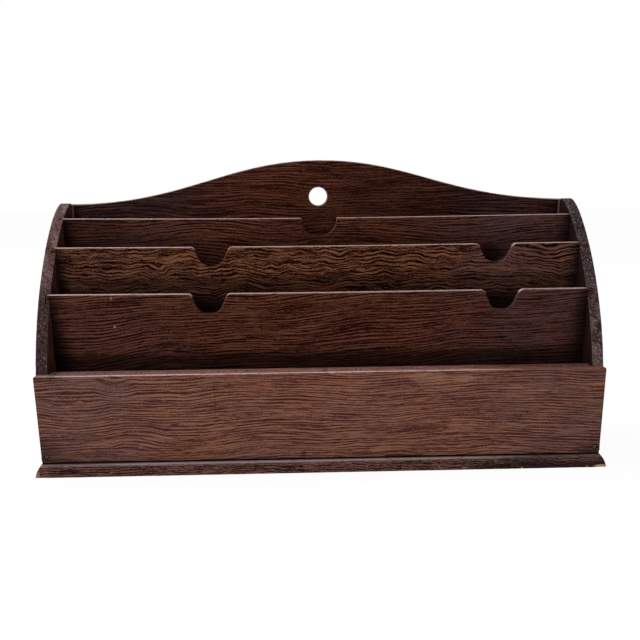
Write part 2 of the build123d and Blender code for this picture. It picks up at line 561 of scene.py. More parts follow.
class Graph:
    """A material's node tree, emptied and ready for its nodes."""

    def __init__(self, material: bpy.types.Material) -> None:
        """Take over a material's nodes.

        Args:
            material: The material to fill.
        """
        material.use_nodes = True
        self.tree = material.node_tree
        self.tree.nodes.clear()

    def add(
        self,
        kind: str,
        settings: Optional[Mapping[str, Any]] = None,
        inputs: Optional[Mapping[Union[int, str], Input]] = None,
        output: Union[int, str] = 0,
    ) -> Number:
        """Add one node.

        Args:
            kind: The node's type.
            settings: Its own settings, which are set before its sockets.
            inputs: Values or links of its sockets, by name or number.
            output: The output socket that is wanted.

        Returns:
            That output, wrapped.
        """
        node = self.tree.nodes.new(kind)
        for name, value in (settings or {}).items():
            setattr(node, name, value)
        for name, value in (inputs or {}).items():
            if isinstance(value, Number):
                self.tree.links.new(value.socket, node.inputs[name])
            elif node.inputs[name].type == "RGBA":
                node.inputs[name].default_value = (*value, 1.0)
            else:
                node.inputs[name].default_value = value
        if not node.outputs:
            return Number(self, node.inputs[0])
        return Number(self, node.outputs[output])

    def principled(self, values: Mapping[str, Input]) -> None:
        """Put out a Principled BSDF with the given values as the surface."""
        surface = self.add("ShaderNodeBsdfPrincipled", None, values)
        self.add("ShaderNodeOutputMaterial", None, {"Surface": surface})

    def bump(self, height: Number, strength: float, distance: float) -> Number:
        """Normal of a surface with the given height."""
        values = {"Strength": strength, "Distance": distance, "Height": height}
        return self.add("ShaderNodeBump", None, values)

    def place(self) -> tuple[Number, Number, Number]:
        """X, Y and Z of the object's own coordinates, in millimetres."""
        metres = self.add("ShaderNodeTexCoord", output="Object")
        scaled = self.add("ShaderNodeVectorMath", {"operation": "SCALE"}, {0: metres, "Scale": 1 / MM})
        x, y, z = (self.add("ShaderNodeSeparateXYZ", None, {0: scaled}, axis) for axis in "XYZ")
        return x, y, z

    def noise(self, x: Input, y: Input, z: Input, detail: float = 2.0, rough: float = 0.5) -> Number:
        """Noise at a place whose units are one lump of the noise each, from about 0.2 to 0.8."""
        place = self.add("ShaderNodeCombineXYZ", None, {0: x, 1: y, 2: z})
        values = {"Vector": place, "Scale": 1.0, "Detail": detail, "Roughness": rough}
        return self.add("ShaderNodeTexNoise", {"noise_dimensions": "3D"}, values)

    def mix(self, share: Input, first: Input, second: Input) -> Number:
        """Blend two colours, the second by the given share."""
        return self.add("ShaderNodeMix", {"data_type": "RGBA"}, {0: share, 6: first, 7: second}, output=2)

    def mask(self, name: str) -> Number:
        """A number that the mesh carries at its vertices."""
        return self.add("ShaderNodeAttribute", {"attribute_name": name}, output="Fac")


# Finishes

class Grain(Enum):
    """Which way the wood's fibres run."""

    ALONG_X = "along the rack"
    ALONG_Z = "upright"


@dataclass(frozen=True)
class StainedOak:
    """Oak stained dark and waxed, with streaks of pores that swing and ripple along the board.

    Attributes:
        title: Name of the material.
        grain: Way of the fibres.
        seed: Shifts the figure, so that no two boards match.
        pore: Colour in the pores.
        body: Colour between them.
        warm: Colour of the warmer patches.
        light: Colour of the lightest streaks.
        haze: Colour where the stain has greyed.
        worn: Colour of worn arrises, pale enough to stand in as their painted highlight too.
        raw: Colour of places worn bare, and of other pale places.
        stain_and_shade: Colour of stain marks and of the painted shade.
        shade_colour: Colour of the painted shade in the gaps under the boards and in the notches.
        cut: Colour of the sawn end of the fibres.
        speck: Colour of the light specks in it.
        specks: Values of the noise between which the specks start and are full.
        dust: Colour of the sawn edge where it is dusty.
        dusty: Heights at which the dust on it starts and is full.
        fine: Thickness of the common streaks, across the grain.
        length: Length of the long ones along the grain.
        dash: Length of the short ones.
        flecks: Strength of the small flecks, each about a millimetre long.
        spread: Tone below 0 at which a pore is as dark as it gets.
        ring: Spacing of the yearly rings.
        rings: Strength of the rings.
        slope: Rise of the grain along the board.
        swing: Height of the slow swings of the grain.
        ripple: Height of the quick ripples.
        ripple_length: Length of the ripples along the grain.
        dips: Places where the grain dips round a small knot, each a place along and across, its half
            sizes and the dip's depth.
        dark: Strength of the dark streaks.
        bright: Strength of the light streaks.
        warmth: Share of the warm patches.
        haze_low: Strength of the greyed area towards the low end of the grain.
        haze_high: Strength of the greyed area towards the high end.
        haze_all: Strength of the greyed patches everywhere.
        ends: From the middle to where the greyed areas start and where they are full.
        gloss: Specular level of the waxed surface.
        rough: Its roughness.
        wax: Weight of the wax coat on rubbed arrises.
        rubbed_and_lit: Values of the noise between which the rubbing and painted highlight start and are
            full.
        housed: From the middle to where a housing hides the painted shade at the ends and where it is open.
        shade_ends: From the middle to where the painted shade in the corners by the sides starts and is full,
            or None.
        foot_darkening: Steps of darkening towards the foot, each the heights at which it starts and is full,
        and its share; on the dividers it is painted shade deep in their pockets.
        marks: Stain marks, spots and painted shade, each a place along and across, its half sizes and its
            strength.
        bare: Places of the raw colour, given in the same way.
        bare_depth: Place through the board up to which they reach.
    """

    title: str
    grain: Grain
    seed: float
    pore: Colour
    body: Colour
    warm: Colour
    light: Colour
    haze: Colour
    worn: Colour = (0.44, 0.295, 0.27)
    raw: Colour = (0.40, 0.24, 0.14)
    stain_and_shade: Colour = (0.0035, 0.0012, 0.0012)
    shade_colour: Colour = (0.003, 0.001, 0.001)
    cut: Colour = (0.030, 0.020, 0.020)
    speck: Colour = (0.12, 0.085, 0.08)
    specks: tuple[float, float] = (0.50, 0.66)
    dust: Colour = (0.150, 0.088, 0.082)
    dusty: tuple[float, float] = (105.0, 130.0)
    fine: float = 0.50
    length: float = 38.0
    dash: float = 8.0
    flecks: float = 0.50
    spread: float = 0.08
    ring: float = 1.9
    rings: float = 0.15
    slope: float = 0.0
    swing: float = 7.0
    ripple: float = 0.6
    ripple_length: float = 14.0
    dips: tuple[Mark, ...] = ()
    dark: float = 0.9
    bright: float = 0.8
    warmth: float = 0.6
    haze_low: float = 0.5
    haze_high: float = 0.8
    haze_all: float = 0.3
    ends: tuple[float, float] = (50.0, 150.0)
    gloss: float = 0.1
    rough: float = 0.5
    wax: float = 0.6
    rubbed_and_lit: tuple[float, float] = (0.28, 0.48)
    housed: tuple[float, float] = (171.3, 170.6)
    shade_ends: Optional[tuple[float, float]] = None
    foot_darkening: tuple[tuple[float, float, float], ...] = ()
    marks: tuple[Mark, ...] = ()
    bare: tuple[Mark, ...] = ()
    bare_depth: float = 1000.0

    def material(self) -> bpy.types.Material:
        """Make the material.

        Returns:
            A material that reads Object coordinates and the attributes wear_and_highlight, edge and
            painted_shade.
        """
        material = bpy.data.materials.new(self.title)
        graph = Graph(material)
        x, y, z = graph.place()
        along, across, through = (x, z, y) if self.grain is Grain.ALONG_X else (z, y, x)
        level = self._level(graph, along, across, through)
        streak, fine = self._streaks(graph, along, level, through)
        colour = self._stain(graph, along, across, streak)
        if self.grain is Grain.ALONG_Z:
            colour = graph.mix(graph.mask("edge") * 0.9, colour, self._sawn(graph, x, y, z))
        # Stain marks, with painted shade at the ends, at the dividers' feet and under some marks.
        colour = graph.mix(self._stain_and_shade(along, across, z), colour, self.stain_and_shade)
        # Worn arrises, paler also as a painted highlight on them.
        rubbed_and_lit = graph.noise(along * 0.25 + self.seed, across * 0.8, through * 0.8, 4.0, 0.7)
        rub_and_lit = graph.mask("wear_and_highlight") * rubbed_and_lit.between(*self.rubbed_and_lit)
        colour = graph.mix(rub_and_lit * 0.9, colour, self.worn)
        if self.bare:
            reached = through.between(self.bare_depth + 5.0, self.bare_depth)
            bared = (1.0 - self._clear_of(self.bare, along, across)) * reached
            colour = graph.mix(bared, colour, self.raw)
        # Painted shade in the gaps under the boards and in the notches.
        colour = graph.mix(graph.mask("painted_shade"), colour, self.shade_colour)
        pores = streak.between(-self.spread, 0.0)
        graph.principled({
            "Base Color": colour,
            "Roughness": (1.0 - rub_and_lit * 0.3) * (self.rough + 0.2 * (1.0 - pores)),
            "Specular IOR Level": self.gloss,
            "Coat Weight": rub_and_lit * self.wax,
            "Coat Roughness": 0.35,
            "Normal": graph.bump(pores * 0.7 + fine * 0.3, 0.35, 0.0003),
        })
        return material

    @staticmethod
    def _near(mark: Mark, along: Number, across: Number) -> Number:
        """Squared distance from the middle of a mark, over its half sizes: 1 all round its rim."""
        mark_along, mark_across, half_along, half_across, _ = mark
        u = (along - mark_along) / half_along
        v = (across - mark_across) / half_across
        return u * u + v * v

    def _clear_of(self, marks: Sequence[Mark], along: Number, across: Number) -> Input:
        """1 away from all the marks, and 1 less its strength in the middle of each."""
        clear: Input = 1.0
        for mark in marks:
            clear = clear * (1.0 - self._near(mark, along, across).between(1.0, 0.2) * mark[-1])
        return clear

    def _level(self, graph: Graph, along: Number, across: Number, through: Number) -> Number:
        """Place across the grain, moved by its slope, its slow swings, its quick ripples and its dips."""
        seed = self.seed
        slow = graph.noise(along * 0.012 + seed, across * 0.018, through * 0.01 + seed, 1.0)
        quick = graph.noise(along / self.ripple_length, across * 0.06 + seed, through * 0.06, 2.0)
        swung = across + along * self.slope + (slow - 0.5) * (2 * self.swing)
        level = swung + (quick - 0.5) * (4 * self.ripple)
        for dip in self.dips:
            level = level + self._near(dip, along, across).between(1.0, 0.0) * dip[-1]
        return level

    def _streaks(self, graph: Graph, along: Number, level: Number, through: Number) -> tuple[Number, Number]:
        """Yearly rings and five noises drawn out along the grain.

        The noises are bands, long and short pores, fine fibres and flecks. The rings are the sine of the
        place across the grain over their spacing, shifted by a slow noise, and they come and go.

        Args:
            graph: The material's graph.
            along: Place along the grain.
            level: Place across it.
            through: Place through the board.

        Returns:
            The tone of the streaks, below 0 in the pores and above 0 elsewhere, and that of the fine fibres.
        """
        seed = self.seed
        size = 1.0 / self.fine
        bands = graph.noise(along * 0.028 + seed, level * 0.30, through * 0.30, 2.0, 0.55)
        long = graph.noise(along / self.length + seed, level * size, through * size, 2.0, 0.6)
        short = graph.noise(along / self.dash, level * (1.25 * size) + seed, through * size + 5.0, 2.0, 0.6)
        fine = graph.noise(along * 0.22, level * (2.3 * size) + seed, through * (2.3 * size), 2.0, 0.6)
        fleck = graph.noise(along * 0.85, level * size + 2.0 * seed, through * size, 1.0)
        shift = graph.noise(along * 0.02 + seed, level * 0.15, through * 0.15 + seed, 2.0, 0.6)
        shown = graph.noise(along * 0.03, level * 0.12 + seed, through * 0.12, 1.0).between(0.25, 0.60)
        rings = ((level + through) * (tau / self.ring) + (shift - 0.5) * 14.0).sine() * shown
        total = (bands - 0.5) * 0.3 + (long - 0.5) * 1.05 + (short - 0.5) * 0.65 + (fine - 0.5) * 0.6
        return total + rings * self.rings + (fleck - 0.5) * self.flecks, fine

    def _stain(self, graph: Graph, along: Number, across: Number, streak: Number) -> Number:
        """Colour of the stain: the body with warm patches and greyed ends, then light and dark streaks."""
        seed = self.seed
        patches = graph.noise(along * 0.035 + seed, across * 0.12, seed, 3.0, 0.6)
        colour = graph.mix(patches.between(0.42, 0.60) * self.warmth, self.body, self.warm)
        cloud = graph.noise(along * 0.03 + 3.0 * seed, across * 0.08, seed, 3.0, 0.6).between(0.35, 0.60)
        low = (0.0 - along).between(*self.ends) * self.haze_low
        high = along.between(*self.ends) * self.haze_high
        hazed = (low + high + self.haze_all) * (0.3 + 0.7 * cloud)
        colour = graph.mix(hazed, colour, self.haze)
        bright = (1.0 - hazed.between(0.0, 1.2) * 0.45) * self.bright
        colour = graph.mix(streak.between(0.0, 1.8 * self.spread) * bright, colour, self.light)
        return graph.mix(streak.between(-0.15 * self.spread, -self.spread) * self.dark, colour, self.pore)

    def _stain_and_shade(self, along: Number, across: Number, height: Number) -> Input:
        """Share of painted shade in the corners, of darkening at the foot, and of the marks, some stain and
        some painted shade.
        """
        clean: Input = 1.0
        if self.shade_ends:
            from_middle = along.size()
            shown = 0.2 + 0.8 * from_middle.between(*self.housed)
            clean = clean * (1.0 - from_middle.between(*self.shade_ends) * shown * 0.8)
        for start, full, share in self.foot_darkening:
            clean = clean * (1.0 - height.between(start, full) * share)
        return 1.0 - clean * self._clear_of(self.marks, along, across)

    def _sawn(self, graph: Graph, x: Number, y: Number, z: Number) -> Number:
        """Colour of the sawn ends of the fibres: dull, with light and dark specks."""
        grit = graph.noise(x + self.seed, y, z, 3.0, 0.75)
        slant = graph.noise(x * 0.25 + self.seed, y * 0.2, z * 0.9 + x * 0.7, 2.0, 0.6)
        broad = graph.noise(x * 0.1, y * 0.06 + self.seed, z * 0.06, 2.0, 0.6)
        end = graph.mix(z.between(*self.dusty), self.cut, self.dust)
        end = graph.mix(broad.between(0.45, 0.62) * 0.7, end, self.body)
        end = graph.mix(grit.between(*self.specks), end, self.speck)
        end = graph.mix(grit.between(0.47, 0.36), end, self.pore)
        return graph.mix(slant.between(0.50, 0.38) * 0.75, end, self.pore)


@dataclass(frozen=True)
class DarkIron:
    """Old panel pins: dull iron, brown where it has rusted.

    Attributes:
        title: Name of the material.
        bare: Colour of the metal.
        rust: Colour of the rust.
    """

    title: str = "dark_iron"
    bare: Colour = (0.085, 0.072, 0.072)
    rust: Colour = (0.014, 0.007, 0.006)

    def material(self) -> bpy.types.Material:
        """Make the material."""
        material = bpy.data.materials.new(self.title)
        graph = Graph(material)
        x, y, z = graph.place()
        spots = graph.noise(x * 1.3, y * 1.3, z * 1.3, 3.0, 0.7).between(0.42, 0.6)
        graph.principled({
            "Base Color": graph.mix(spots, self.bare, self.rust),
            "Roughness": spots * 0.4 + 0.35,
            "Metallic": 1.0 - spots * 0.8,
            "Normal": graph.bump(spots, 0.4, 0.0001),
        })
        return material


# Boards

class Solid:
    """Box of a node of the frame, in millimetres."""

    def __init__(self, node: str) -> None:
        """Measure the node.

        Args:
            node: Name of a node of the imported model.
        """
        low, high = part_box(node)
        self.x0, self.y0, self.z0 = (value / MM for value in low)
        self.x1, self.y1, self.z1 = (value / MM for value in high)


@dataclass
class Board:
    """A board that takes the place of one node of the frame.

    Attributes:
        node: The node.
        slot: The record's material slot. It is not used.
        finish: The board's own oak.
    """

    node: str
    slot: str
    finish: StainedOak

    def build(self) -> bpy.types.Object:
        """Make, dress and place the board.

        Returns:
            The finished piece.
        """
        piece = self.shape(Solid(self.node))
        piece.data.materials.append(self.finish.material())
        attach(piece, "root")
        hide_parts(self.node)
        return piece

    def shape(self, solid: Solid) -> bpy.types.Object:
        """Make the board's mesh.

        Args:
            solid: Box of the node that it replaces.

        Returns:
            The bare piece.
        """
        raise NotImplementedError


@dataclass(frozen=True)
class Notch:
    """Finger notch in a divider's top edge.

    Attributes:
        middle: Place of its middle along the rack.
        mouth: Width at the top.
        floor: Width at the bottom.
        depth: Depth from the top.
        left_shoulder: Radius of the left shoulder.
        right_shoulder: Radius of the right shoulder.
        turn: Radius of the two turns at the bottom.
    """

    middle: float
    mouth: float
    floor: float
    depth: float
    left_shoulder: float
    right_shoulder: float
    turn: float

    def corners(self, top: float) -> list[Corner]:
        """Corners of the notch from left to right, below the given top."""
        return [
            (self.middle - self.mouth / 2, top, self.left_shoulder),
            (self.middle - self.floor / 2, top - self.depth, self.turn),
            (self.middle + self.floor / 2, top - self.depth, self.turn),
            (self.middle + self.mouth / 2, top, self.right_shoulder),
        ]


@dataclass
class Divider(Board):
    """Thin upright board across the rack, with finger notches in its top.

    Attributes:
        notches: From left to right.
        sag: How far the middle of the top lies below its ends.
        lift: How far the left end of the top stands above the right one.
        round: Radius of the rubbed arrises along the top.
        dim_from: Place along the rack from which the top's rubbing and painted highlight fade towards the
            right, away from the lamp.
        seed: Seed of its unevenness.
    """

    notches: tuple[Notch, ...] = ()
    sag: float = 0.6
    lift: float = 0.1
    round: float = 0.7
    dim_from: float = 95.0
    seed: int = 1

    def shape(self, solid: Solid) -> bpy.types.Object:
        """Make the divider: straight below and at its ends, with its notched top as the upper run.

        At the share s of its length the top lies lower by sag * sin(pi s)^1.3 and higher by
        lift * (1-s)^6.
        """
        corners: list[Corner] = [(solid.x0, solid.z1, 0.0)]
        for notch in self.notches:
            corners += notch.corners(solid.z1)
        corners.append((solid.x1, solid.z1, 0.0))
        high = turned(corners, 0.7)
        share = (high[:, 0] - solid.x0) / (solid.x1 - solid.x0)
        high[:, 1] += self.lift * (1 - share) ** 6 - self.sag * np.sin(pi * share).clip(0.0) ** 1.3
        gone = travelled(high)
        low = run(blend(solid.x0, solid.x1, gone / gone[-1]), solid.z0)
        height = np.linspace(solid.z0, solid.z1, 14)
        left, right = run(solid.x0, height), run(solid.x1, height)
        left[-1], right[-1] = high[0], high[-1]
        outline = Outline(low, high, left, right)
        loop = outline.loop()
        a, b = loop.T
        top = solid.z1 - self.sag
        near_top = ramp(b, solid.z0 + 30.0, solid.z0 + 40.0)
        inside = ramp(np.abs(a), solid.x1 - 1.0, solid.x1 - 3.0)
        below = ramp(b, top - 0.6, top - 2.4)
        # Painted light: the top's highlight dims towards the right, away from the lamp, and in the notches
        # the walls that face left, towards it, take a painted highlight.
        dimmed = ramp(a, self.dim_from, self.dim_from + 15.0)
        way_a, way_b = mitres(loop).T
        to_left = (-way_a).clip(0.0)
        lit_in_notch = 0.02 + 0.03 * way_b.clip(0.0) + (0.18 - 0.14 * dimmed) * to_left
        worn = self.round * (1.0 + 0.25 * uneven(a, (61.0, 23.0, 9.0, 4.1), self.seed))
        worn = np.minimum(worn, 0.35 + 0.5 * self._from_sharp(a))
        front, back = (Arris(blend(SHARP, size * worn, near_top * inside)) for size in (1.0, 0.5))
        skin = Skin.around(loop, solid.y1 - solid.y0, front, back, 1)
        rubbed_and_lit = near_top * (1.0 - 0.05 * ramp(a, self.dim_from, self.dim_from + 40.0))
        rubbed_and_lit *= blend(1.0, lit_in_notch, below)
        rubbed_and_lit *= ramp(a, solid.x1 - 2.0, solid.x1 - 6.0) * ramp(a, solid.x0 + 0.8, solid.x0 + 2.0)
        skin.wear_and_highlight = ramp(skin.edge, 0.15, 0.65) * rubbed_and_lit
        # Painted shade inside the notches, less on the walls that face the lamp on the left.
        skin.painted_shade = 0.85 * skin.edge * (below * near_top * (1.0 - 0.8 * to_left))
        skin.close(outline)
        return make_piece(self.node + "_oak", skin, Facing.FRONT, solid.y0)

    def _from_sharp(self, a: Points) -> Points:
        """Distance along the rack from the nearest notch shoulder that is nearly sharp."""
        away = np.full(len(a), 10.0)
        for notch in self.notches:
            for radius, side in ((notch.left_shoulder, -1), (notch.right_shoulder, 1)):
                if radius < 2.0:
                    away = np.minimum(away, np.abs(a - (notch.middle + side * notch.mouth / 2)))
        return away


@dataclass
class FrontBoard(Board):
    """Low front board, rebated at both ends so that a lip covers the sides' front edges.

    Attributes:
        lip: Thickness of the lip.
        rebate: Width of the rebate, from the board's end.
        corner: Radius of the top corners.
        round: Radius of the rubbed arris along the top of the front.
        seed: Seed of its unevenness.
    """

    lip: float = 4.5
    rebate: float = 7.3
    corner: float = 1.3
    round: float = 1.2
    seed: int = 11

    def shape(self, solid: Solid) -> bpy.types.Object:
        """Make the front: behind the lip the rings step in at both ends, in proportion to a."""
        pins = Solid("front_board_nails")
        pin_b = (pins.z0 + pins.z1) / 2
        shoulder = solid.z1 - 3.0
        margin = 6.0
        rim = turned([
            (solid.x0, shoulder, 0.0),
            (solid.x0, solid.z1, self.corner),
            (solid.x1, solid.z1, self.corner),
            (solid.x1, shoulder, 0.0),
        ], 0.5)
        gone = travelled(rim)
        whole = gone[-1]
        even = places_between(margin, whole - margin, 1.0)
        stops = np.concatenate([gone[gone < margin], even, gone[gone > whole - margin]])
        high = run(np.interp(stops, gone, rim[:, 0]), np.interp(stops, gone, rim[:, 1]))
        low = run(blend(solid.x0, solid.x1, stops / whole), solid.z0)
        height = places_between(solid.z0, shoulder, 3.0, [pin_b])
        outline = Outline(low, high, run(solid.x0, height), run(solid.x1, height))
        loop = outline.loop()
        a, b = loop.T
        near_top = ramp(b, solid.z1 - 2.0, solid.z1 - 0.8)
        at_foot = (b < solid.z0 + TOUCH).astype(float)
        shown = near_top * ramp(np.abs(a), solid.x1 - 1.0, solid.x1 - 7.0)
        worn = self.round * (1.0 + 0.25 * uneven(a, (83.0, 31.0, 12.0, 5.0), self.seed))
        chip = 0.9 * np.exp(-(((a - 5.0) / 1.6) ** 2))
        front = Arris(blend(0.25, worn + chip, shown) + 0.55 * at_foot, 7)
        skin = Skin.around(loop, solid.y1 - solid.y0, front, Arris(blend(0.3, 0.4, shown)), 4)
        # Rubbing and painted highlight along the top arris, fading at the far left and towards the right,
        # away from the lamp.
        rubbed_and_lit = near_top * (1.0 - 0.92 * ramp(a, 95.0, 125.0)) * (1.0 - 0.5 * ramp(a, -150.0, -165.0))
        last = front.steps
        skin.wear_and_highlight[: last + 1] = ramp(skin.edge[: last + 1], 0.35, 0.60) * rubbed_and_lit
        skin.wear_and_highlight[last:] = 0.2 * near_top * ramp(a, 115.0, 85.0)
        # Painted shade in the gap between the foot of the board and the base.
        skin.painted_shade[1 : last + 2] = at_foot
        self._step_in(skin, solid)
        skin.close(outline)
        skin.sink(skin.front, 1.0, [(pins.x0 + HEAD, pin_b), (pins.x1 - HEAD, pin_b)])
        return make_piece(self.node + "_oak", skin, Facing.FRONT, solid.y0)

    def _step_in(self, skin: Skin, solid: Solid) -> None:
        """Narrow the rings behind the lip by the rebate's width at each end."""
        before, first, second = skin.flat[:3]
        skin.rings[before, :, 2] = self.lip - 0.4
        skin.rings[first, :, 2] = self.lip
        skin.rings[second, :, 2] = self.lip
        share = skin.rings[second:, :, 0] / solid.x1
        skin.rings[second:, :, 0] -= share * self.rebate


class Hand(Enum):
    """Which end of the rack a side stands at."""

    LEFT = -1
    RIGHT = 1


@dataclass
class SideBoard(Board):
    """Upright side whose front edge curves back to the top, housed inside for the dividers.

    Attributes:
        hand: Which end it stands at.
        lean: Angle by which the curve leans back at its start, in degrees.
        lower_reach: Reach of the curve's second control point.
        upper_reach: Reach of its third.
        housing: Depth of the housings.
        clearance: Room at each face of a divider.
        seed: Seed of its unevenness.
    """

    hand: Hand = Hand.LEFT
    lean: float = 11.5
    lower_reach: float = 56.9
    upper_reach: float = 16.1
    housing: float = 3.0
    clearance: float = 0.1
    seed: int = 21

    def shape(self, solid: Solid) -> bpy.types.Object:
        """Make the side: upright columns from the base to the curve, sunk where a divider is housed."""
        foot = Solid("front_board").z1
        lean = radians(self.lean)
        curve = cubic([
            (solid.y0, foot),
            (solid.y0 + self.lower_reach * sin(lean), foot + self.lower_reach * cos(lean)),
            (solid.y1 - self.upper_reach, solid.z1),
            (solid.y1, solid.z1),
        ], 400)
        columns = self._columns(solid, curve)
        high = run(columns, np.interp(columns, curve[:, 0], curve[:, 1]))
        left = run(solid.y0, np.linspace(solid.z0, foot, 40))
        right = run(solid.y1, np.linspace(solid.z0, solid.z1, 40))
        outline = Outline(run(columns, solid.z0), high, left, right)
        loop = outline.loop()
        a, b = loop.T
        above = ramp(b, foot - 2.0, foot + 2.0)
        behind = ramp(a, solid.y1, solid.y1 - 3.0)
        worn = 0.55 * (1.0 + 0.4 * uneven(b, (37.0, 14.0, 6.0, 2.7), self.seed))
        outer, inner = Arris(blend(SHARP, worn, above * behind)), Arris(blend(SHARP, 2 * SHARP, above))
        thickness = solid.x1 - solid.x0
        skin = Skin.around(loop, thickness, outer, inner, 5)
        at_rear = behind <= 0.02
        # Rubbing and painted highlight on the arrises, most on the inner one along the back, where a pale
        # line runs up the corner.
        skin.wear_and_highlight *= above * np.where(at_rear, 0.9, 0.1)
        skin.wear_and_highlight[: len(skin.wear_and_highlight) // 2] *= np.where(at_rear, 0.4, 2.2)
        self._roughen(skin, loop, above * behind)
        skin.rings[:, :, 2] *= (1.0 - self._sunk(a, b) / thickness)[None]
        skin.close(outline)
        self._cut_housings(skin, columns, thickness)
        start = solid.x0 if self.hand is Hand.LEFT else solid.x1
        return make_piece(self.node + "_oak", skin, Facing.SIDE, start, -float(self.hand.value))

    def _columns(self, solid: Solid, curve: Points) -> Points:
        """Places of the face's columns: even along the curve, with more at the housings' walls.

        Args:
            solid: The side's box.
            curve: Its front edge.

        Returns:
            Rising places along a.
        """
        gone = travelled(curve)
        even = np.interp(np.arange(0.0, gone[-1], 0.9), gone, curve[:, 0])
        walls = [solid.y0, solid.y1]
        for start, end, stop in self._housings():
            walls += [start - WALL, start, start + 0.3, end - 0.3, end, end + WALL]
            crossing = float(np.interp(stop, curve[:, 1], curve[:, 0]))
            if start < crossing < end:
                walls += [crossing, crossing + WALL]
        away = np.abs(even[:, None] - np.array(walls)[None]).min(axis=1)
        columns = np.unique(np.concatenate([even[away > 2 * WALL], walls]))
        return columns[np.concatenate([[True], np.diff(columns) > 0.04])]

    def _housings(self) -> list[tuple[float, float, float]]:
        """Front, back and stopped end of the housing of each divider."""
        dividers = [Solid(node) for node in ("front_divider", "middle_divider", "rear_divider")]
        room = self.clearance
        return [(divider.y0 - room, divider.y1 + room, divider.z1 + room) for divider in dividers]

    def _sunk(self, a: Points, b: Points) -> Points:
        """Depth of the inner face below its plane: the housing's depth inside a housing, and 0 elsewhere."""
        depth = np.zeros(np.broadcast_shapes(a.shape, b.shape))
        for start, end, stop in self._housings():
            depth[(a > start - WALL / 2) & (a < end + WALL / 2) & (b < stop + WALL / 2)] = self.housing
        return depth

    def _cut_housings(self, skin: Skin, a: Points, thickness: float) -> None:
        """Sink the inner face at the housings, with rows moved to their stopped ends.

        Args:
            skin: The closed skin.
            a: Place of each column of the face.
            thickness: The board's thickness.
        """
        b = skin.places[skin.back, 1]
        for start, end, stop in self._housings():
            within = (a > start - WALL / 2) & (a < end + WALL / 2) & (b[-1] > stop + WALL / 2)
            columns = np.flatnonzero(within)
            first = np.argmax(b[:, columns] > stop, axis=0)
            b[first - 1, columns] = stop
            inner = first < len(b) - 1
            b[first[inner], columns[inner]] = stop + WALL
        number = skin.back[1:-1, 1:-1]
        skin.places[number, 1] = b[1:-1, 1:-1]
        skin.places[number, 2] = thickness - self._sunk(a[None, 1:-1], b[1:-1, 1:-1])

    def _roughen(self, skin: Skin, loop: Points, share: Points) -> None:
        """Move the sawn edge in by up to a few tenths of a millimetre, ring by ring."""
        inwards = -mitres(loop)
        for number in skin.flat:
            rough = 0.5 + 0.5 * uneven(loop[:, 1], (11.0, 4.3, 2.6, 1.9), self.seed + int(number))
            skin.rings[number, :, :2] += inwards * (0.25 * rough * share)[:, None]


